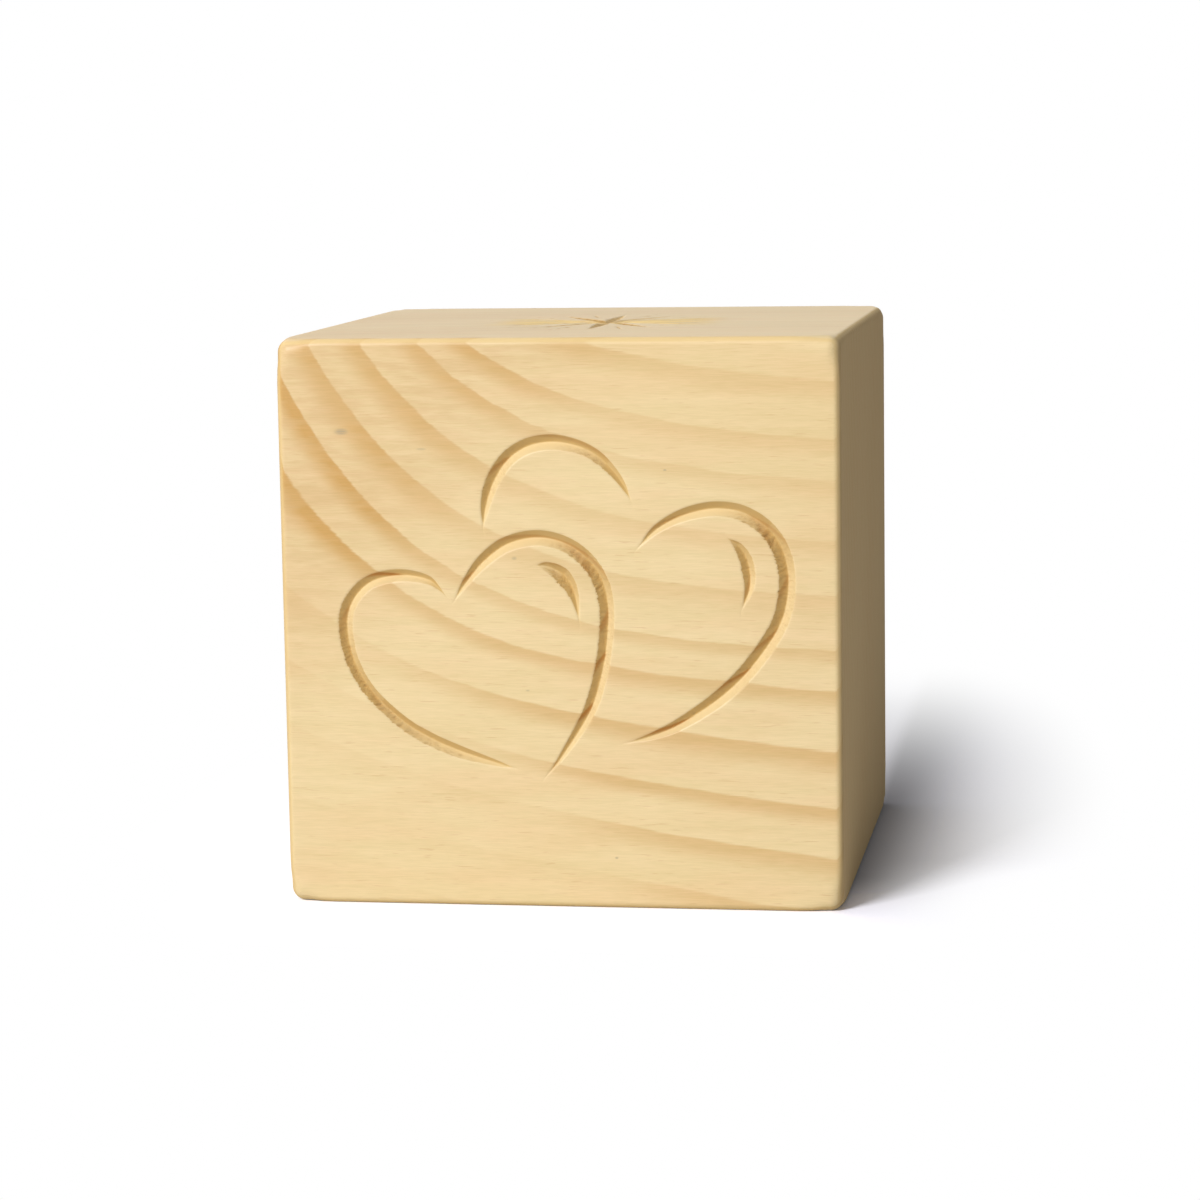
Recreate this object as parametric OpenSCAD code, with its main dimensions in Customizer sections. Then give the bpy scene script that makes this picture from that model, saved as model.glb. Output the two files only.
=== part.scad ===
// A solid pine cube with sanded edges. Two overlapping outline hearts, each with a small highlight,
// are cut into its front, and a rayed star into its top.
// Origin: middle of the underside. X runs to the right, Y to the back and Z up. Millimetres.

/* [Block] */
// Width of the block, left to right
block_w = 100; // [90:0.5:160]
// Depth of the block, front to back
block_d = 100; // [80:0.5:160]
// Height of the block
block_h = 101.5; // [90:0.5:160]
// Radius of the sanded edges and corners
edge_r = 1.6; // [1:0.1:5]

/* [Hearts] */
// Width of the whole group of hearts, over the stroke centrelines
hearts_w = 79; // [50:0.5:86]
// How far the middle of the group lies to the right of the block's middle
hearts_x = 0.7; // [-5:0.1:5]
// Height of the middle of the group above the underside
hearts_z = 54.1; // [36:0.1:66]
// Width of the hearts' strokes where they are widest
stroke_w = 3; // [1.5:0.1:4]
// Angle between the two walls of a stroke
stroke_angle = 90; // [70:5:120]

/* [Star] */
// Diameter of the circle through the tips of the long rays
star_d = 48; // [30:0.5:56]
// How far the star's middle lies to the right of the block's middle
star_x = 2; // [-6:0.1:6]
// How far the star's middle lies in front of the block's middle
star_front = 2; // [-6:0.1:6]
// Number of long rays, which lie in opposite pairs, with a short ray between each two
rays = 12; // [8:2:14]
// Width of a long ray at its widest
ray_w = 2.6; // [1.2:0.1:2.8]
// Diameter of the circle through the tips of the short rays
short_star_d = 50; // [44:0.5:56]
// Diameter of the circle on which the short rays start
short_start_d = 31; // [24:0.5:36]
// Width of a short ray at its widest
short_ray_w = 1; // [0.5:0.1:1.4]
// Angle between the two walls of a ray
ray_angle = 90; // [70:5:120]

/* [Hidden] */

// The cutter starts and ends this far above the wood, so that each stroke fades out to a point.
tip_lift = 0.03;
// The cutting shapes stand this far out of the face that they cut.
stand_out = 0.4;
// Straight pieces between two neighbouring points of a stroke
steps = 4;

// The group of hearts as it was drawn: this wide, with its middle at [0, 0].
drawn_w = 79;
hearts_scale = hearts_w / drawn_w;

// Each stroke is a row of points that a smooth line runs through: [right, up, share of stroke_w].
// The front heart hides part of the rear one, which lies higher and to the right of it.
front_left_lobe = [
    [-20.1, 0.8, 0], [-22.3, 3.4, 0.3], [-24.8, 5.1, 0.64], [-29.8, 5.7, 0.8], [-35, 4.4, 0.84],
    [-38.3, 1, 0.87], [-39.4, -3.2, 0.87], [-38.3, -9.6, 0.8], [-35, -15.4, 0.76],
    [-29.4, -20.7, 0.8], [-24.4, -23.7, 0.84], [-19.1, -25.9, 0.78], [-12.8, -27.8, 0.46],
    [-8.2, -29, 0]
];
front_right_lobe = [
    [-19.9, 0.7, 0], [-17.7, 4.2, 0.46], [-14.4, 8.2, 0.8], [-10.1, 11.3, 0.93], [-4.8, 12.5, 0.97],
    [0.2, 11.5, 0.97], [4.2, 8.7, 0.97], [6.7, 4.9, 0.93], [7.7, 0.4, 0.9], [7.5, -5.2, 0.87],
    [6.5, -11.4, 0.86], [4.3, -18.3, 0.78], [-0.2, -25.7, 0.46], [-4.1, -30.8, 0]
];
rear_left_lobe = [
    [-14.2, 13.8, 0], [-13.7, 18, 0.6], [-12.4, 22.2, 0.85], [-9.8, 26.2, 0.93],
    [-6.2, 28.6, 0.96], [-1.9, 29.4, 0.96], [2.3, 28.8, 0.87], [5.9, 27.2, 0.76],
    [8.7, 24.7, 0.63], [10.9, 21.8, 0.43], [12.6, 18.4, 0]
];
rear_right_lobe = [
    [12.9, 10.2, 0], [16.2, 13.7, 0.5], [19.8, 15.9, 0.73], [23.6, 17.2, 0.87], [27.6, 17.7, 0.93],
    [32, 16.9, 0.97], [36.2, 14.1, 1], [38.8, 9.9, 1], [39.6, 4.2, 1], [38.2, -2.4, 1],
    [33.7, -9.4, 1], [28.1, -15.2, 0.96], [21, -20.1, 0.77], [15.8, -22.5, 0.5], [9.9, -24.2, 0]
];
front_highlight = [
    [-5.2, 7.6, 0], [-2.8, 7.4, 0.6], [0, 5.7, 0.97], [1.9, 2.4, 0.63], [2.9, -2.9, 0]
];
rear_highlight = [
    [28.9, 12.8, 0], [31.3, 10.8, 0.6], [32.7, 7.7, 0.8], [32.9, 3.8, 0.6], [31.5, -0.3, 0]
];
heart_strokes = [
    front_left_lobe, front_right_lobe, front_highlight,
    rear_left_lobe, rear_right_lobe, rear_highlight
];

// A long ray, from the star's middle to the tip: [share of the radius, share of the width]
long_ray_shape = [[0, 0.5], [0.15, 0.85], [0.3, 1], [0.55, 0.78], [0.8, 0.38], [1, 0]];
// A short ray, from its inner end to its tip: [share of the length, share of the width]
short_ray_shape = [[0, 0], [0.1, 0.62], [0.3, 1], [0.55, 0.78], [0.8, 0.38], [1, 0]];

// A point beyond the end of a row, so that the smooth line has a direction there
function before(row) = 2 * row[0] - row[1];
function beyond(row) = 2 * row[len(row) - 1] - row[len(row) - 2];

// A smooth line through four points in turn, from b to c as t goes from 0 to 1
function between(a, b, c, d, t) =
    b + (c - a) * t / 2
    + (2 * a - 5 * b + 4 * c - d) * t * t / 2
    + (3 * b - 3 * c + d - a) * t * t * t / 2;

// The row with its extra end points, and then the smooth line through it
function with_ends(row) = concat([before(row)], row, [beyond(row)]);
function smooth(row) = let (p = with_ends(row)) [
    for (i = [1 : len(row) - 1], k = [0 : steps - 1])
        between(p[i - 1], p[i], p[i + 1], p[i + 2], k / steps),
    row[len(row) - 1]
];

// Unit vector across the line at point i, in the plane of the face
function along(line, i) = line[min(i + 1, len(line) - 1)] - line[max(i - 1, 0)];
function across(line, i) =
    let (a = along(line, i), n = norm([a[0], a[1]]))
    [-a[1] / n, a[0] / n];

// Half the width of a cut at the face: all of width / 2 at a share of 1, and clear of the wood at 0
function half_width(share, width) = share * (width / 2 + tip_lift) - tip_lift;

// The V at one point of a line: its two top corners and its lowest point, as [right, up, out of the face].
// The third number of the point is half the width of the cut there.
function vee(p, side, slope) =
    let (top = p[2] + stand_out / slope)
    [
        [p[0] - side[0] * top, p[1] - side[1] * top, stand_out],
        [p[0] + side[0] * top, p[1] + side[1] * top, stand_out],
        [p[0], p[1], -p[2] * slope]
    ];

// The solid that a V cutter sweeps along a line, to be taken out of a face that lies at height 0
module v_cut(line, angle) {
    slope = 1 / tan(angle / 2);
    last = len(line) - 1;
    points = [for (i = [0 : last]) each vee(line[i], across(line, i), slope)];
    sides = [
        for (i = [0 : last - 1], j = [0 : 2])
            let (a = 3 * i + j, b = 3 * i + (j + 1) % 3)
            each [[a, b, b + 3], [a, b + 3, a + 3]]
    ];
    ends = [[2, 1, 0], [3 * last, 3 * last + 1, 3 * last + 2]];
    polyhedron(points = points, faces = concat(sides, ends));
}

module heart_cuts() {
    for (row = heart_strokes)
        v_cut(
            [for (p = smooth(row)) [p[0] * hearts_scale, p[1] * hearts_scale, half_width(p[2], stroke_w)]],
            stroke_angle
        );
}

// Two opposite long rays, cut in one pass through the star's middle along X
module long_ray_pair() {
    last = len(long_ray_shape) - 1;
    row = concat(
        [for (i = [last : -1 : 1]) [-long_ray_shape[i][0], long_ray_shape[i][1]]],
        long_ray_shape
    );
    v_cut([for (p = row) [p[0] * star_d / 2, 0, half_width(p[1], ray_w)]], ray_angle);
}

module short_ray() {
    start = short_start_d / 2;
    length = short_star_d / 2 - start;
    v_cut(
        [for (p = short_ray_shape) [start + p[0] * length, 0, half_width(p[1], short_ray_w)]],
        ray_angle
    );
}

module star_cuts() {
    pitch = 360 / rays;
    for (i = [0 : rays / 2 - 1])
        rotate([0, 0, i * pitch])
            long_ray_pair();
    for (i = [0 : rays - 1])
        rotate([0, 0, (i + 0.5) * pitch])
            short_ray();
}

// A rectangle in the XY plane with round corners
module round_rectangle(x, y) {
    square([x - 2 * edge_r, y], center = true);
    square([x, y - 2 * edge_r], center = true);
    for (a = [-1, 1], b = [-1, 1])
        translate([a * (x / 2 - edge_r), b * (y / 2 - edge_r)])
            circle(r = edge_r, $fn = 48);
}

// The block before it is carved, standing on height 0: a slab through each pair of faces rounds
// the twelve edges, and a ball in each corner rounds the eight corners.
module rounded_block() {
    w = block_w - 2 * edge_r;
    d = block_d - 2 * edge_r;
    h = block_h - 2 * edge_r;
    translate([0, 0, block_h / 2]) {
        linear_extrude(height = h, center = true)
            round_rectangle(block_w, block_d);
        rotate([90, 0, 0])
            linear_extrude(height = d, center = true)
                round_rectangle(block_w, block_h);
        rotate([90, 0, 90])
            linear_extrude(height = w, center = true)
                round_rectangle(block_d, block_h);
        for (a = [-1, 1], b = [-1, 1], c = [-1, 1])
            translate([a * w / 2, b * d / 2, c * h / 2])
                sphere(r = edge_r, $fn = 48);
    }
}

module carved_block() {
    color("burlywood")
        difference() {
            rounded_block();
            translate([hearts_x, -block_d / 2, hearts_z])
                rotate([90, 0, 0])
                    heart_cuts();
            translate([star_x, -star_front, block_h])
                star_cuts();
        }
}

carved_block();
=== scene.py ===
# %% [markdown]
# # A carved pine cube
# The object is one block of pine, about ten centimetres each way, with sanded edges. Two outline hearts are
# cut into its front and a rayed star into its top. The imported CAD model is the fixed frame: it gives the
# block's true size and place. This script builds the finer block that is seen, and its finish, around it.

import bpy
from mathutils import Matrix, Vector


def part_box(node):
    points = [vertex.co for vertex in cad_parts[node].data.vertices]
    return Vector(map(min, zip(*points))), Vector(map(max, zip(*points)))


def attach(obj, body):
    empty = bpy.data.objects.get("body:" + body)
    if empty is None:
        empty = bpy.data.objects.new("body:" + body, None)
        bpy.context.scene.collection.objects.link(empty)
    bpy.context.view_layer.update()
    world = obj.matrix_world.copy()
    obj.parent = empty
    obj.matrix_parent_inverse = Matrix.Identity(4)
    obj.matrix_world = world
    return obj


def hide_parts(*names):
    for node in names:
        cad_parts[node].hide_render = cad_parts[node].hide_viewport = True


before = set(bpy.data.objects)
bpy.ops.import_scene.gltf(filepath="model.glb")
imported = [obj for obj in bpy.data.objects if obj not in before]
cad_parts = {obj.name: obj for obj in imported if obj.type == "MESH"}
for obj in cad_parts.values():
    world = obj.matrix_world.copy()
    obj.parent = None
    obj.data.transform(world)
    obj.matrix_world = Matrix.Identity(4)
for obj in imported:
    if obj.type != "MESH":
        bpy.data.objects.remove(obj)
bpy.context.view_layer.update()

# %% [markdown]
# ## Sizes
# All carving is planned in millimetres, because the cutter that made it was set in millimetres. The block's
# own width, depth and height come from the frame, so the wood can't drift away from the CAD solid.

# %% Measure the block
import math

import bmesh
import bpy
import numpy as np
from mathutils import Quaternion, Vector, geometry, kdtree, noise

MM = 0.001
low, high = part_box("carved_block")
block_w, block_d, block_h = (float(side) / MM for side in (high - low))
edge_r = 1.3
print(f"block {block_w:.1f} x {block_d:.1f} x {block_h:.1f} mm, edges rounded to {edge_r} mm")

# %% [markdown]
# ## Camera
# The picture was taken from a little to the right of the block and a little above it, so that the right side
# and the top are both seen at a glancing angle. The camera is placed first, since every later choice is
# judged through it. Its place and lens were worked out from where the block's long edges fall.

# %% Place the camera
camera_place = Vector((0.1026, -0.6404, 0.1374))
turned_left = math.radians(9.15)
tilted_down = math.radians(7.81)
rolled = math.radians(-0.89)

aim = Vector((
    -math.sin(turned_left) * math.cos(tilted_down),
    math.cos(turned_left) * math.cos(tilted_down),
    -math.sin(tilted_down),
))
camera_data = bpy.data.cameras.new("camera")
camera_data.lens = 103.05
camera_data.sensor_width = 36
camera = bpy.data.objects.new("camera", camera_data)
camera.location = camera_place
camera.rotation_mode = "QUATERNION"
camera.rotation_quaternion = aim.to_track_quat("-Z", "Y") @ Quaternion((0, 0, 1), rolled)
bpy.context.scene.collection.objects.link(camera)
bpy.context.scene.camera = camera
print("camera", tuple(round(c, 3) for c in camera.location), "lens", camera_data.lens)

# %% [markdown]
# ## Light
# A large soft lamp stands to the left of the camera and above it, like a window. It rakes over the front
# just enough to leave the upper left wall of each groove in shade. A weak lamp overhead lifts the top, and
# the world adds an even, dim light from all sides. The Standard view transform shows colours as written.

# %% Set the lamp
bpy.context.scene.view_settings.view_transform = "Standard"


def soft_lamp(name, place, target, size, power):
    """A square lamp with an even, soft light, turned towards a point."""
    lamp = bpy.data.lights.new(name, "AREA")
    lamp.shape = "SQUARE"
    lamp.size = size
    lamp.energy = power
    holder = bpy.data.objects.new(name, lamp)
    holder.location = place
    holder.rotation_mode = "QUATERNION"
    holder.rotation_quaternion = (Vector(target) - Vector(place)).to_track_quat("-Z", "Y")
    bpy.context.scene.collection.objects.link(holder)
    return holder


block_middle = (0, 0, block_h / 2 * MM)
window_light = soft_lamp("window_light", (-0.79, -1.48, 0.98), block_middle, 0.60, 30)
ceiling_light = soft_lamp("ceiling_light", (-0.24, 0.16, 1.38), block_middle, 0.80, 3.4)
for lamp in (window_light, ceiling_light):
    print("lamp", lamp.name, "at", tuple(round(c, 2) for c in lamp.location), lamp.data.energy, "W")

# %% [markdown]
# ## Helpers for materials
# A finish in Blender is a small graph of nodes. These helpers add one node each, link what is a socket and
# write what is a plain number or colour straight into the node's own socket.

# %% Node helpers
def new_finish(name):
    """An empty material, its node tree and its output node."""
    finish = bpy.data.materials.new(name)
    finish.use_nodes = True
    finish.node_tree.nodes.clear()
    output = finish.node_tree.nodes.new("ShaderNodeOutputMaterial")
    return finish, finish.node_tree, output


def feed(tree, node, values):
    """Fill a node's sockets: a socket gets linked, and a number or colour gets written."""
    for socket, value in values.items():
        if isinstance(value, bpy.types.NodeSocket):
            tree.links.new(value, node.inputs[socket])
        else:
            node.inputs[socket].default_value = value
    return node


def arithmetic(tree, operation, first, second=0.5, clamp=False):
    """One sum on two values."""
    node = tree.nodes.new("ShaderNodeMath")
    node.operation = operation
    node.use_clamp = clamp
    return feed(tree, node, {0: first, 1: second}).outputs[0]


def product(tree, first, *others, clamp=False):
    """Values multiplied together, and kept between 0 and 1 where clamp is set."""
    for other in others:
        first = arithmetic(tree, "MULTIPLY", first, other, clamp)
    return first


print("helpers:", ", ".join(helper.__name__ for helper in (new_finish, feed, arithmetic, product)))

# %% [markdown]
# ## Vectors, smooth steps and colours
# A place or a direction has three parts, which these helpers take apart or measure. A smooth step turns a
# distance into a share without a hard line, and a blend lays one colour over another by that share. Colours
# are written as on a paint chart, and turned into the linear light that Blender reckons with.

# %% Vector and colour helpers
def parts_of(tree, vector):
    """The X, Y and Z of a vector."""
    split = tree.nodes.new("ShaderNodeSeparateXYZ")
    feed(tree, split, {0: vector})
    return split.outputs


def length_of(tree, vector):
    """How long a vector is."""
    reach = tree.nodes.new("ShaderNodeVectorMath")
    reach.operation = "LENGTH"
    return feed(tree, reach, {0: vector}).outputs["Value"]


def smooth_step(tree, value, start, end, low_end=0.0, high_end=1.0):
    """A value that runs smoothly from low_end at start to high_end at end."""
    node = tree.nodes.new("ShaderNodeMapRange")
    node.interpolation_type = "SMOOTHSTEP"
    sockets = {"Value": value, "From Min": start, "From Max": end, "To Min": low_end, "To Max": high_end}
    return feed(tree, node, sockets).outputs["Result"]


def blend(tree, share, first, second, mode="MIX"):
    """A colour between two colours."""
    node = tree.nodes.new("ShaderNodeMix")
    node.data_type = "RGBA"
    node.blend_type = mode
    feed(tree, node, {"Factor": share})
    colours = [socket for socket in node.inputs if socket.type == "RGBA"]
    for socket, value in zip(colours, (first, second)):
        if isinstance(value, bpy.types.NodeSocket):
            tree.links.new(value, socket)
        else:
            socket.default_value = value
    return next(socket for socket in node.outputs if socket.type == "RGBA")


def paint(red, green, blue):
    """A colour as a paint chart gives it, 0 to 255, turned into the linear light that Blender mixes."""
    chart = [channel / 255 for channel in (red, green, blue)]
    linear = [c / 12.92 if c <= 0.04045 else ((c + 0.055) / 1.055) ** 2.4 for c in chart]
    return (*linear, 1.0)


print("white paint is", paint(255, 255, 255))

# %% [markdown]
# ## World
# The block stands in front of plain white with no horizon. The camera should see white there, yet the wood
# should be lit by a soft grey room. The Light Path node tells the two apart: rays from the camera, and those
# that a gloss mirrors, meet white, and all the others meet the room's light.

# %% Light the world
room_light = 0.12

world = bpy.data.worlds.new("room")
bpy.context.scene.world = world
world.use_nodes = True
world.node_tree.nodes.clear()
sky_out = world.node_tree.nodes.new("ShaderNodeOutputWorld")


def seen_directly(tree):
    """1 for a ray that the camera, a gloss or a glass sends out, and 0 for scattered light."""
    path = tree.nodes.new("ShaderNodeLightPath")
    gloss = arithmetic(tree, "ADD", path.outputs["Is Glossy Ray"], path.outputs["Is Transmission Ray"])
    return arithmetic(tree, "ADD", path.outputs["Is Camera Ray"], gloss, clamp=True)


strength = smooth_step(world.node_tree, seen_directly(world.node_tree), 0, 1, room_light, 1.0)
sky = world.node_tree.nodes.new("ShaderNodeBackground")
feed(world.node_tree, sky, {"Color": (1, 1, 1, 1), "Strength": strength})
world.node_tree.links.new(sky.outputs[0], sky_out.inputs["Surface"])
print("room light", room_light)

# %% [markdown]
# ## A floor that keeps the shadow
# A pure white floor would burn the shadow away, and a grey one would show its far edge. So the camera sees a
# mix: a matt floor near the block, which takes its shadow, and plain white further off. The mix follows the
# distance from the block's footprint, drawn out behind it, where the shadow falls. All other rays meet a
# plain pale grey floor, so that the light that it throws back onto the wood stays true. Beside the block's
# right side both floors are painted darker as well: a painted shadow.

# %% Measure the floor round the block
fade_from, fade_to = -0.005, 0.048
longer_behind = 3.9
shorter_before = 0.7
sooner_in_front = 2.0
# Where the painted shadow by the block's right foot lies, in mm
foot_from, foot_to = block_w / 2 - 6, block_w / 2 + 25
foot_front, foot_full = -block_d / 2 - 2, -block_d / 2 + 32


def floor_place(tree):
    """A place on the floor, split into X, Y and Z."""
    return parts_of(tree, tree.nodes.new("ShaderNodeTexCoord").outputs["Object"])


def beyond_block(tree):
    """How far a place on the floor lies outside the block's footprint, with the way behind it shortened."""
    place = floor_place(tree)
    aside = arithmetic(tree, "ABSOLUTE", place["X"])
    aside = arithmetic(tree, "MAXIMUM", arithmetic(tree, "SUBTRACT", aside, block_w / 2 * MM), 0)
    sooner = smooth_step(tree, place["Y"], -block_d / 2 * MM, 0.0, sooner_in_front, 1.0)
    aside = product(tree, aside, sooner)
    forward = product(tree, place["Y"], -1)
    before = arithmetic(tree, "SUBTRACT", forward, block_d / 2 * MM)
    before = arithmetic(tree, "DIVIDE", before, shorter_before)
    behind = arithmetic(tree, "SUBTRACT", place["Y"], block_d / 2 * MM)
    behind = arithmetic(tree, "DIVIDE", behind, longer_behind)
    ahead = arithmetic(tree, "MAXIMUM", arithmetic(tree, "MAXIMUM", before, behind), 0)
    outside = tree.nodes.new("ShaderNodeCombineXYZ")
    feed(tree, outside, {0: aside, 1: ahead})
    return length_of(tree, outside.outputs[0])


def painted_shadow_by_foot(tree):
    """1 on the floor by the block's right side, where little light gets in and shadow is painted, 0 further
    off.
    """
    place = floor_place(tree)
    near = smooth_step(tree, place["X"], block_w / 2 * MM, foot_to * MM, 1.0, 0.0)
    right_side = smooth_step(tree, place["X"], foot_from * MM, block_w / 2 * MM)
    beside = smooth_step(tree, place["Y"], foot_front * MM, foot_full * MM)
    return product(tree, near, right_side, beside)


print(f"the shadow is gone {fade_to} m beside the block and {fade_to * longer_behind:.3f} m behind it")

# %% Lay the floor
floor_half = 4.0
white_floor = 1.5
# Painted shadow beside the right foot: a darker floor for the camera, and a darker grey for bounced light
painted_shadow_grey = 0.31
cooler = 1.12
room_grey = paint(218, 218, 218)
painted_foot_shadow = paint(150, 150, 150)

corners = [(-floor_half, -floor_half, 0), (floor_half, -floor_half, 0),
           (floor_half, floor_half, 0), (-floor_half, floor_half, 0)]
floor_mesh = bpy.data.meshes.new("floor")
floor_mesh.from_pydata(corners, [], [(0, 1, 2, 3)])
floor = bpy.data.objects.new("floor", floor_mesh)
bpy.context.scene.collection.objects.link(floor)


def grey_floor(level):
    """A neutral floor colour of this lightness, a touch cooler than plain grey."""
    return (level, level, level * cooler, 1)


def sweep_finish():
    """A matt white floor that keeps the block's shadow near it and fades to plain white further off."""
    finish, tree, output = new_finish("white_sweep")
    path = tree.nodes.new("ShaderNodeLightPath")
    foot = painted_shadow_by_foot(tree)
    room_side = tree.nodes.new("ShaderNodeBsdfDiffuse")
    feed(tree, room_side, {"Color": blend(tree, foot, room_grey, painted_foot_shadow)})
    shadow_side = tree.nodes.new("ShaderNodeBsdfDiffuse")
    shadow_colour = blend(tree, foot, grey_floor(white_floor), grey_floor(white_floor * painted_shadow_grey))
    feed(tree, shadow_side, {"Color": shadow_colour})
    plain_white = tree.nodes.new("ShaderNodeEmission")
    feed(tree, plain_white, {"Color": (1, 1, 1, 1), "Strength": 1.0})
    far_off = smooth_step(tree, beyond_block(tree), fade_from, fade_to)
    seen = tree.nodes.new("ShaderNodeMixShader")
    feed(tree, seen, {0: far_off, 1: shadow_side.outputs[0], 2: plain_white.outputs[0]})
    chosen = tree.nodes.new("ShaderNodeMixShader")
    feed(tree, chosen, {0: path.outputs["Is Camera Ray"], 1: room_side.outputs[0], 2: seen.outputs[0]})
    feed(tree, output, {"Surface": chosen.outputs[0]})
    return finish


floor_mesh.materials.append(sweep_finish())
print("floor", 2 * floor_half, "m wide")

# %% [markdown]
# ## The strokes of the hearts
# The carver drew each heart as two lobes that swell and taper, with a small crescent inside for a highlight.
# A tracing would hold thousands of points, so each stroke is instead a row of a dozen listed points:
# how far right, how far up, and how wide the cut is there as a share of the widest. They are the same rows
# that the CAD model is cut with.

# %% Draw the hearts
stroke_w = 3.0
hearts_right, hearts_up = 0.95, 53.85 - block_h / 2
tip_lift = 0.03

front_left_lobe = [
    [-20.1, 0.8, 0], [-22.3, 3.4, 0.3], [-24.8, 5.1, 0.64], [-29.8, 5.7, 0.8], [-35, 4.4, 0.84],
    [-38.3, 1, 0.87], [-39.4, -3.2, 0.87], [-38.3, -9.6, 0.8], [-35, -15.4, 0.76],
    [-29.4, -20.7, 0.8], [-24.4, -23.7, 0.84], [-19.1, -25.9, 0.78], [-12.8, -27.8, 0.46],
    [-8.2, -29, 0],
]
front_right_lobe = [
    [-19.9, 0.7, 0], [-17.7, 4.2, 0.46], [-14.4, 8.2, 0.8], [-10.1, 11.3, 0.93], [-4.8, 12.5, 0.97],
    [0.2, 11.5, 0.97], [4.2, 8.7, 0.97], [6.7, 4.9, 0.93], [7.7, 0.4, 0.9], [7.5, -5.2, 0.87],
    [6.5, -11.4, 0.86], [4.3, -18.3, 0.78], [-0.2, -25.7, 0.46], [-4.1, -30.8, 0],
]
rear_left_lobe = [
    [-14.2, 13.8, 0], [-13.7, 18, 0.6], [-12.4, 22.2, 0.85], [-9.8, 26.2, 0.93],
    [-6.2, 28.6, 0.96], [-1.9, 29.4, 0.96], [2.3, 28.8, 0.87], [5.9, 27.2, 0.76],
    [8.7, 24.7, 0.63], [10.9, 21.8, 0.43], [12.6, 18.4, 0],
]
rear_right_lobe = [
    [12.9, 10.2, 0], [16.2, 13.7, 0.5], [19.8, 15.9, 0.73], [23.6, 17.2, 0.87], [27.6, 17.7, 0.93],
    [32, 16.9, 0.97], [36.2, 14.1, 1], [38.8, 9.9, 1], [39.6, 4.2, 1], [38.2, -2.4, 1],
    [33.7, -9.4, 1], [28.1, -15.2, 0.96], [21, -20.1, 0.77], [15.8, -22.5, 0.5], [9.9, -24.2, 0],
]
front_highlight = [
    [-5.2, 7.6, 0], [-2.8, 7.4, 0.6], [0, 5.7, 0.97], [1.9, 2.4, 0.63], [2.9, -2.9, 0],
]
rear_highlight = [
    [28.9, 12.8, 0], [31.3, 10.8, 0.6], [32.7, 7.7, 0.8], [32.9, 3.8, 0.6], [31.5, -0.3, 0],
]
heart_rows = [
    front_left_lobe, front_right_lobe, front_highlight,
    rear_left_lobe, rear_right_lobe, rear_highlight,
]
print(len(heart_rows), "strokes,", sum(len(row) for row in heart_rows), "hand-chosen points")

# %% [markdown]
# ## Smooth lines with even steps
# A smooth curve through the points gives the cutter's path. It is then walked at an even step, so that the
# mesh has cells of one size along every stroke.

# %% Walk a stroke
step_along = 0.27


def smooth_row(row, per_gap=24):
    """A Catmull-Rom curve through the points of a row, with the ends carried straight on."""
    points = np.array(row, float)
    points = np.vstack([2 * points[0] - points[1], points, 2 * points[-1] - points[-2]])
    pieces = []
    for a, b, c, d in zip(points, points[1:], points[2:], points[3:]):
        t = np.linspace(0, 1, per_gap, endpoint=False)[:, None]
        pieces.append(
            b + (c - a) * t / 2
            + (2 * a - 5 * b + 4 * c - d) * t ** 2 / 2
            + (3 * b - 3 * c + d - a) * t ** 3 / 2
        )
    return np.vstack([*pieces, points[-2]])


def even_walk(curve, step):
    """The same curve, with its points an even step apart."""
    lengths = np.hypot(*np.diff(curve[:, :2], axis=0).T)
    walked = np.concatenate([[0], np.cumsum(lengths)])
    stops = np.linspace(0, walked[-1], max(2, round(walked[-1] / step)) + 1)
    return np.column_stack([np.interp(stops, walked, column) for column in curve.T])


def half_width(share, width):
    """Half the width of a cut at the face, just clear of the wood where the share is 0."""
    return share * (width / 2 + tip_lift) - tip_lift


def heart_line(row):
    """One stroke on the front: right, up from the face's middle, and half its width, in mm."""
    line = even_walk(smooth_row(row), step_along)
    return np.column_stack([
        line[:, 0] + hearts_right, line[:, 1] + hearts_up, half_width(line[:, 2], stroke_w),
    ])


heart_lines = [heart_line(row) for row in heart_rows]
print("stations along each stroke:", [len(line) for line in heart_lines])

# %% [markdown]
# ## The rays of the star
# The star on the top is turned round its middle: twelve long rays that meet there, and twelve short ones
# between them. One ray is drawn along the X axis as shares of its length and width, and copied by turning.

# %% Draw the star
star_right, star_back = 2.0, -2.0
coarser_on_star = 1.6
rays = 12
star_d, ray_w = 48.0, 2.6
short_start_d, short_star_d, short_ray_w = 31.0, 50.0, 1.0
long_ray_shape = [[0, 0.5], [0.15, 0.85], [0.3, 1], [0.55, 0.78], [0.8, 0.38], [1, 0]]
short_ray_shape = [[0, 0], [0.1, 0.62], [0.3, 1], [0.55, 0.78], [0.8, 0.38], [1, 0]]


def ray_line(shape, start_d, end_d, width, angle):
    """One ray of the star on the top: right, back from the face's middle, and half its width, in mm."""
    share_out, share_wide = np.array(shape, float).T
    out = (start_d + share_out * (end_d - start_d)) / 2
    straight = np.column_stack([out, np.zeros(len(out)), half_width(share_wide, width)])
    line = even_walk(straight, step_along * coarser_on_star)
    return np.column_stack([
        star_right + line[:, 0] * math.cos(angle), star_back + line[:, 0] * math.sin(angle), line[:, 2],
    ])


ray_pitch = 2 * math.pi / rays
long_rays = [ray_line(long_ray_shape, 0, star_d, ray_w, k * ray_pitch) for k in range(rays)]
short_rays = [
    ray_line(short_ray_shape, short_start_d, short_star_d, short_ray_w, (k + 0.5) * ray_pitch)
    for k in range(rays)
]
star_lines = long_rays + short_rays
print(len(long_rays), "long rays and", len(short_rays), "short ones")

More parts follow.
